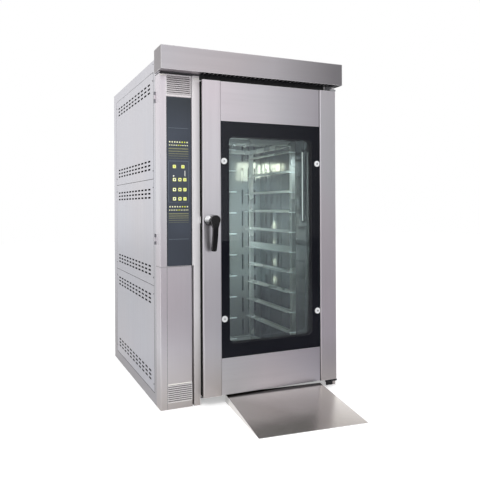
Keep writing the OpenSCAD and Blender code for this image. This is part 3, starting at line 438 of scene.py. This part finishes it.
def make_materials():
    side_tints = (0.615, 0.62, 0.675), (0.64, 0.625, 0.66)
    return {
        "side_steel": brushed("side_steel", "z", 0.36, *side_tints, edge_highlight=False),
        # Painted shade, darker towards the bottom
        "frame_steel": brushed("frame_steel", "z", 0.36, *side_tints, edge_highlight=False,
                               fade=("Z", 0.62, 0.12, (0.46, 0.445, 0.465))),
        # Painted shade, darker towards the bottom
        "upright_steel": brushed("upright_steel", "z", fade=("Z", 0.32, 0.03, (0.55, 0.51, 0.50))),
        # Painted shade, darker towards the right
        "cross_steel": brushed("cross_steel", "x", 0.34, fade=("X", 0.05, 0.42, (0.56, 0.53, 0.58))),
        # Painted shade, darker towards the bottom
        "post_steel": brushed("post_steel", "z", 0.3, (0.74, 0.74, 0.76), (0.76, 0.72, 0.74),
                              metallic=0.12, fade=("Z", 0.50, 0.04, (0.46, 0.42, 0.41))),
        "louvre_steel": brushed("louvre_steel", "x", 0.28, (0.64, 0.63, 0.65), (0.68, 0.63, 0.65),
                                metallic=0.3),
        # Painted shade on the left end and towards the right
        "hood_steel": brushed("hood_steel", "x", 0.36, (0.55, 0.55, 0.59), (0.585, 0.54, 0.565),
                              end_shade=(0.29, 0.27, 0.28),
                              fade=("X", 0.10, 0.50, (0.33, 0.315, 0.335))),
        "ramp_steel": ramp_steel(),
        "lining": lining_steel("lining", LINING, 0.13, 0.85),
        "duct_steel": lining_steel("duct_steel", (0.62, 0.66, 0.67), 0.14, 0.6),
        "rack_steel": lining_steel("rack_steel", (0.86, 0.89, 0.88), 0.26, 0.5),
        # Near-white steel for painted highlights on folds and on the louvre's rim
        "highlight_steel": lining_steel("highlight_steel", (0.95, 0.96, 0.95), 0.3, 0.1),
        # Painted highlight on the rails' front ends
        "tip_highlight": lit("tip_highlight", (0.80, 0.84, 0.83), 0.40),
        "chrome": plain_metal("chrome", CHROME, 0.16, underside_shade=(0.10, 0.10, 0.105)),
        "satin": plain_metal("satin", (0.62, 0.62, 0.63), 0.34, edge_highlight=0.5),
        "hinge_grey": plain_metal("hinge_grey", (0.30, 0.30, 0.33), 0.32, edge_highlight=0.6),
        "screw_steel": plain_metal("screw_steel", (0.34, 0.34, 0.36), 0.35, 700.0),
        "bracket_grey": painted("bracket_grey", (0.17, 0.17, 0.18), 0.42),
        "black_coat": painted("black_coat", (0.008, 0.008, 0.010), 0.45, edge_highlight=0.12),
        "enamel": painted("enamel", (0.0045, 0.0055, 0.0105), 0.36, 0.0, edge_highlight=0.0, gloss=0.22,
                          glow=0.5),
        "black_grip": moulded("black_grip", (0.002, 0.002, 0.0025), 0.20, gloss=0.28),
        "rubber": moulded("rubber", (0.012, 0.012, 0.012), 0.65, 500.0),
        "seal_black": moulded("seal_black", (0.002, 0.002, 0.002), 0.7, 500.0, gloss=0.08),
        "keeper_paint": keeper_paint((0.60, 0.59, 0.60), LEFT_X + 219.4 * MM),
        "louvre_shade": painted("louvre_shade", (0.15, 0.145, 0.15), 0.5, edge_highlight=0.0, gloss=0.2),
        "void_shade": moulded("void_shade", (0.001, 0.001, 0.001), 0.8, 400.0, gloss=0.0),
        "seam": moulded("seam", (0.035, 0.035, 0.04), 0.6, 400.0),
        "motor_grey": painted("motor_grey", (0.085, 0.105, 0.125), 0.42),
        "galvanised": plain_metal("galvanised", (0.46, 0.47, 0.48), 0.42, 60.0),
        "oxidised": plain_metal("oxidised", (0.16, 0.14, 0.13), 0.5, 90.0),
        "glass": pane("glass", (0.825, 0.885, 0.88)),
        "film_edge": moulded("film_edge", (0.018, 0.022, 0.030), 0.4),
        "film": film("film", FILM_TEAL, FILM_SLATE),
        # Keys, print and the pane's edge line; a glow above nought is a painted glow
        "key_plastic": lit("key_plastic", KEY_YELLOW, 0.25, 0.35),
        "lamp_glow": lamp_glass(),
        "ink_cream": lit("ink_cream", INK_CREAM, 0.25),
        "key_pale": lit("key_pale", KEY_PALE, 0.2),
        "ink_blue": lit("ink_blue", INK_BLUE, 0.0),
        "ink_dark": lit("ink_dark", (0.012, 0.016, 0.004), 0.0),
        "ink_pale": lit("ink_pale", INK_PALE, 0.15),
        "pane_edge": lit("pane_edge", (0.13, 0.15, 0.16), 0.12),
        "disc_grey": painted("disc_grey", (0.66, 0.67, 0.68), 0.34, edge_highlight=0.0),
    }


NODE_MATERIALS = {
    "side_steel": SIDE_PANELS,
    "frame_steel": ["left_frame"],
    "upright_steel": ["door_stile_left", "door_stile_right", "column_panel", "control_shell",
                      "right_side_panel", "back_panel"],
    "post_steel": ["door_frame"],
    "louvre_steel": ["upper_louvre"],
    "cross_steel": ["door_rail_top", "door_rail_bottom", "roof_panel"],
    "hood_steel": ["hood"],
    "ramp_steel": ["ramp"],
    "lining": ["chamber_liner", "floor_pan", "door_inner_frame"],
    "duct_steel": ["duct_panel"],
    "rack_steel": ["rack_frame", "rack_rails", "drive_hook"],
    "chrome": ["latch_housing", "latch_bolt"],
    "hinge_grey": ["control_hinges"],
    "satin": ["fan_wheel"],
    "keeper_paint": ["latch_keeper"],
    "bracket_grey": ["top_hinge_bracket"],
    "black_coat": ["door_core", "hood_grille", "bottom_hinge_bracket"],
    "enamel": ["glass_border"],
    "black_grip": ["handle_lever"],
    "rubber": ["door_gasket", "wheel_front_left", "wheel_front_right", "wheel_rear_left",
               "wheel_rear_right"],
    "motor_grey": ["gearmotor", "fan_motor"],
    "galvanised": ["base_frame"],
    "oxidised": ["heating_element"],
    "glass": ["outer_glass", "inner_glass"],
    "film": ["fascia"],
    "lamp_glow": ["lamp_tube"],
    "disc_grey": ["glass_fasteners"],
    "key_plastic": [f"key_{k}" for k in range(1, KEY_COUNT + 1)],
}


def dress_nodes(materials):
    for name, nodes in NODE_MATERIALS.items():
        for node in nodes:
            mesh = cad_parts[node].data
            mesh.materials.clear()
            mesh.materials.append(materials[name])


# ---------------------------------------------------------------- small pieces


def make_object(name, data):
    thing = bpy.data.objects.new(name, data)
    bpy.context.scene.collection.objects.link(thing)
    return thing


def mesh_object(name, bm, materials):
    """Turns a bmesh into an object with materials."""
    mesh = bpy.data.meshes.new(name)
    bm.to_mesh(mesh)
    bm.free()
    for material in materials:
        mesh.materials.append(material)
    return make_object(name, mesh)


def piece(name, bm, materials, body):
    """Turns a bmesh into an object that rides on a body."""
    bmesh.ops.recalc_face_normals(bm, faces=bm.faces)
    thing = mesh_object(name, bm, materials)
    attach(thing, body)


def add_block(bm, low, high):
    """Adds a closed block between two corners."""
    size = [b - a for a, b in zip(low, high)]
    middle = [(a + b) / 2 for a, b in zip(low, high)]
    matrix = Matrix.Translation(middle) @ Matrix.Diagonal((*size, 1))
    bmesh.ops.create_cube(bm, size=1, matrix=matrix)


def add_outline(bm, points, low_y, high_y, slot=0):
    """Adds a prism with the given outline in X and Z, between two depths."""
    front = [bm.verts.new((x, low_y, z)) for x, z in points]
    back = [bm.verts.new((x, high_y, z)) for x, z in points]
    faces = [bm.faces.new(front), bm.faces.new(list(reversed(back)))]
    for k in range(len(points)):
        n = (k + 1) % len(points)
        faces.append(bm.faces.new((front[k], back[k], back[n], front[n])))
    for face in faces:
        face.material_index = slot


def add_strip(bm, x, z, y):
    """Adds a bar between two limits in X, in Z and in Y."""
    add_outline(bm, [(x[0], z[0]), (x[1], z[0]), (x[1], z[1]), (x[0], z[1])], *y)


def round_outline(centre, half, radius, steps=5):
    """Points of a rectangle with round corners, in X and Z."""
    points = []
    for k, (sx, sz) in enumerate(((1, 1), (-1, 1), (-1, -1), (1, -1))):
        for step in range(steps + 1):
            angle = math.pi / 2 * (k + step / steps)
            points.append((centre[0] + sx * (half[0] - radius) + radius * math.cos(angle),
                           centre[1] + sz * (half[1] - radius) + radius * math.sin(angle)))
    return points


def disc_outline(centre, radius, steps=16):
    """Points of a circle or a regular polygon, in X and Z."""
    return [(centre[0] + radius * math.cos(2 * math.pi * k / steps),
             centre[1] + radius * math.sin(2 * math.pi * k / steps)) for k in range(steps)]


# ---------------------------------------------------------------- fascia print


def make_fascia(materials):
    """Thin printed layers on the control film: lines, dots, bars and the keypad's outline."""
    low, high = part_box("fascia")
    skin = low.y
    # Ends of the printed lines, clear of the film's edges
    left, right = low.x + 11 * MM, high.x - 16 * MM

    def add_bar(bm, z, half):
        add_block(bm, (left, skin - INK, z - half), (right, skin, z + half))

    def film_piece(name, bm, inks):
        piece(name, bm, inks, "control_door")

    bm = bmesh.new()
    for z in FASCIA_LINES:
        add_bar(bm, z, 0.9 * MM)
    # Outline of the keypad
    for z, line in ((KEYPAD_LOW, 1.2 * MM), (KEYPAD_TOP, 2.6 * MM)):
        add_bar(bm, z, line / 2)
    for x in (left, right):
        add_block(bm, (x - 0.8 * MM, skin - INK, KEYPAD_LOW + 0.6 * MM),
                  (x + 0.8 * MM, skin, KEYPAD_TOP - 1.3 * MM))
    film_piece("fascia_lines", bm, [materials["ink_blue"]])

    # Darker edges of the film
    bm = bmesh.new()
    for x0, x1 in ((low.x, low.x + 5 * MM), (high.x - 3.4 * MM, high.x)):
        add_block(bm, (x0 + 0.2 * MM, skin - 0.12 * MM, low.z + 1 * MM),
                  (x1 - 0.2 * MM, skin, high.z - 1 * MM))
    film_piece("fascia_edges", bm, [materials["film_edge"]])

    # Rows of square dots, two yellow ones after every five pale ones, with a faint painted glow
    bm = bmesh.new()
    for z, count, size in DOT_ROWS:
        half = size * MM
        for k in range(count):
            x = left + (right - left) * (k + 0.5) / count
            outline = round_outline((x, z), (half, half), half * 0.45)
            add_outline(bm, outline, skin - INK, skin, int(k % 7 > 4))
    film_piece("fascia_dots", bm, [materials["ink_cream"], materials["key_plastic"]])

    # Bars that fade downwards, with a faint painted glow
    for group, heights in BAR_GROUPS:
        for k, z in enumerate(heights):
            fade = (1 - k / len(heights)) ** 0.7
            colour = tuple(a * fade + b * (1 - fade) for a, b in zip(INK_OLIVE, FILM_SLATE))
            bm = bmesh.new()
            add_bar(bm, z, (2.8 - 0.25 * k) * MM)
            name = f"fascia_bar_{group}_{k + 1}"
            film_piece(name, bm, [lit(name, colour, 0.02)])

    # Indicator lamp, and a level mark whose faint glow is painted light
    bm = bmesh.new()
    lamp = disc_outline((low.x + 38.5 * MM, 1.233), 4.2 * MM)
    level = round_outline((low.x + 101 * MM, 1.247), (1.6 * MM, 15 * MM), 1.5 * MM)
    add_outline(bm, lamp, skin - 2 * INK, skin)
    add_outline(bm, level, skin - INK, skin)
    film_piece("fascia_marks", bm, [materials["ink_pale"]])


def make_key_marks(materials):
    """A pale field on each key, with a plain hexagon, disc or square by the key's column."""
    inks = [materials[k] for k in ("key_pale", "ink_dark", "key_plastic")]
    dark, yellow = 1, 2
    layer = 0.12 * MM
    for k in range(1, KEY_COUNT + 1):
        low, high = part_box(f"key_{k}")
        centre, skin = ((low.x + high.x) / 2, (low.z + high.z) / 2), low.y
        top = skin - layer
        # Two keys in a row of their own, above three rows of three
        column = (k - 3) % 3 if k > 2 else 2
        field, ink = round_outline(centre, (7.8 * MM, 7.8 * MM), 2.6 * MM), dark
        if column == 0:
            mark = disc_outline(centre, 4.2 * MM, 6)
        elif column == 1:
            field = disc_outline(centre, 7.6 * MM, 24)
            mark = disc_outline(centre, 4.0 * MM)
        else:
            mark, ink = round_outline(centre, (5.8 * MM, 5.8 * MM), 1.6 * MM), yellow
        bm = bmesh.new()
        add_outline(bm, field, top, skin)
        add_outline(bm, mark, top - layer, top, ink)
        piece(f"key_mark_{k}", bm, inks, f"key_body_{k}")


def make_pane_edge(materials):
    """Polished edge line of the inner pane, seen through the outer one, with a faint painted glow."""
    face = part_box("inner_glass")[0].y - 0.5 * MM
    rings = []
    for grow in (0.0, 2.2 * MM):
        x0, x1 = LEFT_X + 397 * MM - grow, LEFT_X + 865 * MM + grow
        z0, z1 = 0.348 - grow, 1.455 + grow
        centre, half = ((x0 + x1) / 2, (z0 + z1) / 2), ((x1 - x0) / 2, (z1 - z0) / 2)
        rings.append(round_outline(centre, half, 28 * MM + grow, 8))
    bm = bmesh.new()
    inner_back, outer_back, inner_front, outer_front = (
        [bm.verts.new((x, y, z)) for x, z in ring]
        for y in (face, face - 0.4 * MM) for ring in rings
    )
    around = (inner_back, outer_back, outer_front, inner_front, inner_back)
    for first, second in zip(around, around[1:]):
        for k in range(len(first)):
            n = (k + 1) % len(first)
            bm.faces.new((first[k], first[n], second[n], second[k]))
    piece("pane_edge", bm, [materials["pane_edge"]], "door")


# ---------------------------------------------------------------- screws


def add_screw(bm, at, out, across, radius, height):
    """A domed screw head with a cross recess, drawn as painted shade, standing on a face."""
    at, out, across = Vector(at), Vector(out), Vector(across)
    up = out.cross(across)
    rings, steps = 4, 16
    loops = []
    for ring in range(rings):
        angle = math.pi / 2 * ring / rings
        r, h = radius * math.cos(angle), height * math.sin(angle)
        turns = [2 * math.pi * k / steps for k in range(steps)]
        loops.append([bm.verts.new(at + across * r * math.cos(turn) + up * r * math.sin(turn) + out * h)
                      for turn in turns])
    for lower, upper in zip(loops, loops[1:]):
        for k in range(steps):
            n = (k + 1) % steps
            bm.faces.new((lower[k], lower[n], upper[n], upper[k]))
    bm.faces.new(loops[-1])
    bm.faces.new(list(reversed(loops[0])))
    # Cross slot, as a dark inlay in the dome's crown: painted shade of the recess
    arm, width, top = radius * 0.55, radius * 0.12, height * 1.02
    points = [
        (arm, width), (width, width), (width, arm), (-width, arm), (-width, width), (-arm, width),
        (-arm, -width), (-width, -width), (-width, -arm), (width, -arm), (width, -width), (arm, -width),
    ]
    lower = [bm.verts.new(at + across * a + up * b + out * height * 0.4) for a, b in points]
    upper = [bm.verts.new(at + across * a + up * b + out * top) for a, b in points]
    faces = [bm.faces.new(upper), bm.faces.new(list(reversed(lower)))]
    for k in range(len(points)):
        n = (k + 1) % len(points)
        faces.append(bm.faces.new((lower[k], lower[n], upper[n], upper[k])))
    for face in faces:
        face.material_index = 1


def make_screws(materials):
    """Screws of the side panels, of the corner by the hood, and of the back."""
    inks = [materials["screw_steel"], materials["black_coat"]]
    head = 4.6 * MM, 2.6 * MM
    small_head = 3.4 * MM, 2.0 * MM
    bm = bmesh.new()
    for node in SIDE_PANELS:
        low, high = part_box(node)
        for y in (low.y + 11 * MM, high.y - 11 * MM):
            for z in (low.z + 44 * MM, high.z - 44 * MM):
                add_screw(bm, (low.x, y, z), (-1, 0, 0), (0, 1, 0), *head)
    # Three more where the side's frame meets the front corner, under the roof
    for y, z in ((-0.480, 1.844), (-0.473, 1.795), (-0.472, 1.753)):
        add_screw(bm, (low.x, y, z), (-1, 0, 0), (0, 1, 0), *small_head)
    piece("side_screws", bm, inks, "cabinet")

    bm = bmesh.new()
    low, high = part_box("back_panel")
    for x in (low.x + 14 * MM, 0.0, high.x - 14 * MM):
        for z in (0.05, 0.62, 1.22, 1.82):
            add_screw(bm, (x, BACK_Y, z), (0, 1, 0), (1, 0, 0), *head)
    piece("back_screws", bm, inks, "cabinet")


def make_disc_details(materials):
    """Socket of each glass fastener: a ring with a hexagon inside."""
    low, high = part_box("glass_fasteners")
    radius = 17 * MM
    ring_y, hexagon_y = low.y - 0.6 * MM, low.y - 0.9 * MM
    bm = bmesh.new()
    for x in (low.x + radius, high.x - radius):
        for z in (low.z + radius, high.z - radius):
            add_outline(bm, disc_outline((x, z), 6.4 * MM, 24), ring_y, low.y, 0)
            add_outline(bm, disc_outline((x, z), 3.6 * MM, 6), hexagon_y, ring_y, 1)
    inks = [materials["satin"], materials["screw_steel"]]
    piece("fastener_sockets", bm, inks, "door")


# ---------------------------------------------------------------- seals and seams


def make_seals(materials):
    """Black seals on the door's edges, and a black strip of painted shade on the frame behind the door's
    free edge.
    """
    black = [materials["seal_black"]]
    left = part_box("door_stile_left")[0].x + 0.4 * MM
    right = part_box("door_stile_right")[1].x - 0.4 * MM
    core_low, core_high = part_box("door_core")
    bm = bmesh.new()
    for x in ((left, core_low.x), (core_high.x, right)):
        add_strip(bm, x, (core_low.z, core_high.z), (core_low.y, core_high.y))
    piece("door_edge_seals", bm, black, "door")

    # Painted shade on the frame, above and below the keeper
    keeper_low, keeper_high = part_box("latch_keeper")
    x = LEFT_X + 222.3 * MM, LEFT_X + 226.3 * MM
    bm = bmesh.new()
    for z in ((core_low.z, keeper_low.z - 1 * MM), (keeper_high.z + 1 * MM, core_high.z)):
        add_strip(bm, x, z, (FRONT_Y - 6.5 * MM, FRONT_Y - 0.05 * MM))
    piece("post_gap_shade", bm, black, "cabinet")


def make_seams(materials):
    """Dark joint lines between the sheets, and a painted shadow under the hood."""
    seam = [materials["seam"]]

    # Around the side panels
    panels = [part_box(node) for node in SIDE_PANELS]
    face = panels[0][0].x
    front, back = panels[0][0].y - 0.5 * MM, panels[0][1].y + 0.5 * MM
    bottom, top = panels[0][0].z - 0.5 * MM, panels[2][1].z + 0.5 * MM
    joints = [(below[1].z + above[0].z) / 2 for below, above in zip(panels, panels[1:])]
    bm = bmesh.new()
    for z, half in zip((bottom, *joints, top), (1.9, 1.5, 1.5, 0.9)):
        add_block(bm, (face - 0.15 * MM, front, z - half * MM), (face + 0.6 * MM, back, z + half * MM))
    for y, half in ((front, 1.9), (back, 1.2)):
        add_block(bm, (face - 0.15 * MM, y - half * MM, bottom), (face + 0.6 * MM, y + half * MM, top))
    piece("side_seams", bm, seam, "cabinet")

    # Ends of the door's rails
    bm = bmesh.new()
    for node in ("door_rail_top", "door_rail_bottom"):
        low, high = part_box(node)
        for x0, x1 in ((low.x, low.x + 1.4 * MM), (high.x - 3.2 * MM, high.x)):
            add_block(bm, (x0, low.y - 0.1 * MM, low.z), (x1, low.y + 0.4 * MM, high.z))
    piece("rail_seams", bm, seam, "door")

    # The column's groove, in line with the film's left edge
    bm = bmesh.new()
    low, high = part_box("column_panel")
    groove_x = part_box("fascia")[0].x
    add_block(bm, (groove_x - 0.8 * MM, FRONT_Y - 0.12 * MM, low.z + 1 * MM),
              (groove_x + 0.9 * MM, FRONT_Y + 0.5 * MM, high.z - 1 * MM))
    piece("column_seam", bm, seam, "cabinet")

    # Painted shadow in the gap under the hood, above the column and the post
    bm = bmesh.new()
    hood_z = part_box("hood")[0].z
    add_block(bm, (LEFT_X + 2 * MM, FRONT_Y - 1.2 * MM, hood_z - 7 * MM),
              (LEFT_X + 221 * MM, FRONT_Y - 0.1 * MM, hood_z - 0.1 * MM))
    piece("hood_shadow", bm, seam, "cabinet")


def make_folds(materials):
    """Painted highlights on the folds at the top of the corner strip and the post, and the post's folded
    edge.
    """
    bm = bmesh.new()
    # Painted highlights on the top folds
    for x0, x1, z in ((3, 33, 1.766), (190, 220, 1.760)):
        add_strip(bm, (LEFT_X + x0 * MM, LEFT_X + x1 * MM), (z - 5 * MM, z),
                  (FRONT_Y - 2.5 * MM, FRONT_Y - 0.2 * MM))
    piece("top_fold_highlights", bm, [materials["highlight_steel"]], "cabinet")

    # Beside the control door
    bm = bmesh.new()
    shell_low, shell_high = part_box("control_shell")
    add_block(bm, (shell_high.x + 2 * MM, FRONT_Y + 1 * MM, shell_low.z),
              (POST_X, FRONT_Y + 2.5 * MM, shell_high.z))
    piece("post_fold", bm, [materials["post_steel"]], "cabinet")


def make_louvres(materials):
    """Black sheets of painted shade behind the air slots and louvres, and the lower louvre's painted
    shades and rim of painted highlight.
    """
    bm = bmesh.new()
    for node in SIDE_PANELS:
        low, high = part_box(node)
        for z in (low.z + 77 * MM, high.z - 77 * MM):
            add_block(bm, (low.x + 0.5 * MM, low.y + 40 * MM, z - 42 * MM),
                      (low.x + 3 * MM, high.y - 40 * MM, z + 42 * MM))
    low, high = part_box("column_panel")
    add_block(bm, (low.x + 40 * MM, FRONT_Y + 12 * MM, 0.030), (high.x - 4 * MM, FRONT_Y + 13 * MM, 0.140))
    piece("slot_shade", bm, [materials["void_shade"]], "cabinet")

    # The painted shade that each blade throws on the next, and the painted highlight on the rim above them
    left, right = LEFT_X + 41 * MM, LEFT_X + 171 * MM
    bm = bmesh.new()
    for k in range(LOUVRE_BLADES):
        z = LOUVRE_LOW + k * LOUVRE_PITCH
        add_block(bm, (left, FRONT_Y - 1.5 * MM, z + 4.7 * MM),
                  (right, FRONT_Y - 0.3 * MM, z + LOUVRE_PITCH - 0.2 * MM))
    piece("louvre_shades", bm, [materials["louvre_shade"]], "cabinet")
    bm = bmesh.new()
    z = LOUVRE_LOW + LOUVRE_BLADES * LOUVRE_PITCH
    add_strip(bm, (left, right), (z - 3.6 * MM, z + 1.6 * MM), (FRONT_Y - 2.2 * MM, FRONT_Y - 0.1 * MM))
    piece("louvre_rim", bm, [materials["highlight_steel"]], "cabinet")

    # Painted shade behind the upper louvre
    bm = bmesh.new()
    low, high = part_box("upper_louvre")
    add_block(bm, (low.x + 1 * MM, FRONT_Y + 9 * MM, low.z + 4 * MM),
              (high.x - 1 * MM, FRONT_Y + 10 * MM, high.z - 2 * MM))
    piece("upper_louvre_shade", bm, [materials["black_coat"]], "control_door")


def make_rail_tips(materials):
    """Painted highlights on the front ends of the tray rails: small glowing blocks."""
    low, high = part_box("rack_rails")
    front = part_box("rack_frame")[0].y
    pitch = (RAIL_TOP - RAIL_LOW) / (RAIL_LEVELS - 1)
    bm = bmesh.new()
    for k in range(RAIL_LEVELS):
        z = RAIL_LOW + k * pitch
        for x in (low.x + 1 * MM, high.x - 20 * MM):
            add_block(bm, (x, front - 4 * MM, z - 1 * MM), (x + 44 * MM, front - 0.2 * MM, z + 4.5 * MM))
    piece("rail_tip_highlights", bm, [materials["tip_highlight"]], "rack")


# ---------------------------------------------------------------- stage


def make_floor():
    """A wide pale floor. It shows bright to the camera, and keeps the object's shadow."""
    shader = Shader("floor", roughness=0.9)
    cloud = shader.noise((0.6, 0.6, 0.6), detail=2.0)
    colour = shader.blend(shader.spread(cloud, 0.0, 1.0), (0.84, 0.84, 0.84), (0.86, 0.86, 0.86))
    path = shader.add("ShaderNodeLightPath").outputs
    seen = shader.math("MAXIMUM", path["Is Camera Ray"], path["Is Transmission Ray"])
    shader.put("Emission Color", (1.0, 1.0, 1.0))
    shader.put("Emission Strength", shader.math("MULTIPLY", seen, 0.42))
    # Mirrored in metal, the floor is dimmer towards the front right
    across = shader.vector("DOT_PRODUCT", shader.place, (0.8, -0.6, 0.0))
    dim = shader.blend(shader.spread(across, 0.0, 1.0, 0.45, 1.4), colour, (0.32, 0.31, 0.33))
    shader.put("Base Color", shader.blend(path["Is Glossy Ray"], colour, dim))

    bm = bmesh.new()
    bm.faces.new([bm.verts.new((x * FLOOR_HALF, y * FLOOR_HALF, 0))
                  for x, y in ((-1, -1), (1, -1), (1, 1), (-1, 1))])
    mesh_object("floor", bm, [shader.material])


def make_world():
    """A white studio, dimmer towards the front right, so that flat steel shades from left to right."""
    world = bpy.data.worlds.new("studio")
    bpy.context.scene.world = world
    world.use_nodes = True
    nodes = Nodes(world.node_tree)
    direction = nodes.add("ShaderNodeTexCoord").outputs["Generated"]
    parts = nodes.add("ShaderNodeSeparateXYZ", Vector=direction).outputs
    forward = nodes.math("MULTIPLY", parts["Y"], -1.0)
    turn = nodes.math("ARCTAN2", parts["X"], forward)
    share = nodes.spread(turn, 0.0, 1.0, -math.pi, math.pi)
    ramp = nodes.add("ShaderNodeValToRGB", Fac=share)
    stops = ramp.color_ramp.elements
    while len(stops) < len(STUDIO):
        stops.new(0.5)
    for stop, (degrees, level) in zip(stops, STUDIO):
        stop.position = (degrees + 180) / 360
        stop.color = (level, level, level, 1)
    path = nodes.add("ShaderNodeLightPath").outputs
    light = nodes.add("ShaderNodeMix", Factor=path["Is Diffuse Ray"], A=ramp.outputs[0], B=STUDIO_LEVEL)
    seen = nodes.add("ShaderNodeMix", Factor=path["Is Camera Ray"], A=light.outputs[0], B=1.0)
    background = nodes.tree.nodes["Background"].inputs
    nodes.feed(background["Color"], (1.0, 1.0, 1.0))
    nodes.feed(background["Strength"], seen.outputs[0])


def make_light(name, at, aim, size, power, colour, spread, mirrored=False):
    """A soft panel of light. Nothing shows it directly, and only a mirrored one shows in metal."""
    data = bpy.data.lights.new(name, "AREA")
    data.shape = "RECTANGLE"
    data.size, data.size_y = size
    data.energy = power
    data.color = colour
    data.spread = math.radians(spread)
    light = make_object(name, data)
    light.location = at
    light.rotation_mode = "QUATERNION"
    light.rotation_quaternion = (Vector(aim) - Vector(at)).to_track_quat("-Z", "Y")
    light.visible_camera = False
    light.visible_transmission = False
    light.visible_glossy = mirrored


def make_lights():
    for light in LIGHTS:
        make_light(*light)
    for k, (x, y, z, width, height, facing, power) in enumerate(BAYS):
        make_light(f"bay_{k + 1}", (x, y, z), (x + facing, y + 0.9, z), (width, height),
                   power * width * height, WARM_LIGHT, BAY_SPREAD, mirrored=True)


def make_camera():
    data = bpy.data.cameras.new("camera")
    data.lens = CAMERA_LENS
    data.sensor_width = CAMERA_SENSOR
    data.shift_y = CAMERA_SHIFT_Y
    camera = make_object("camera", data)
    camera.matrix_world = (
        Matrix.Translation(CAMERA_AT) @ Matrix.Rotation(CAMERA_TURN, 4, "Z")
        @ Matrix.Rotation(math.pi / 2, 4, "X") @ Matrix.Rotation(CAMERA_ROLL, 4, "Z")
    )
    bpy.context.scene.camera = camera


# ---------------------------------------------------------------- build

bpy.context.scene.view_settings.view_transform = "Standard"
materials = make_materials()
dress_nodes(materials)
make_fascia(materials)
make_key_marks(materials)
make_pane_edge(materials)
make_screws(materials)
make_disc_details(materials)
make_seals(materials)
make_seams(materials)
make_folds(materials)
make_louvres(materials)
make_rail_tips(materials)
make_floor()
make_world()
make_lights()
make_camera()
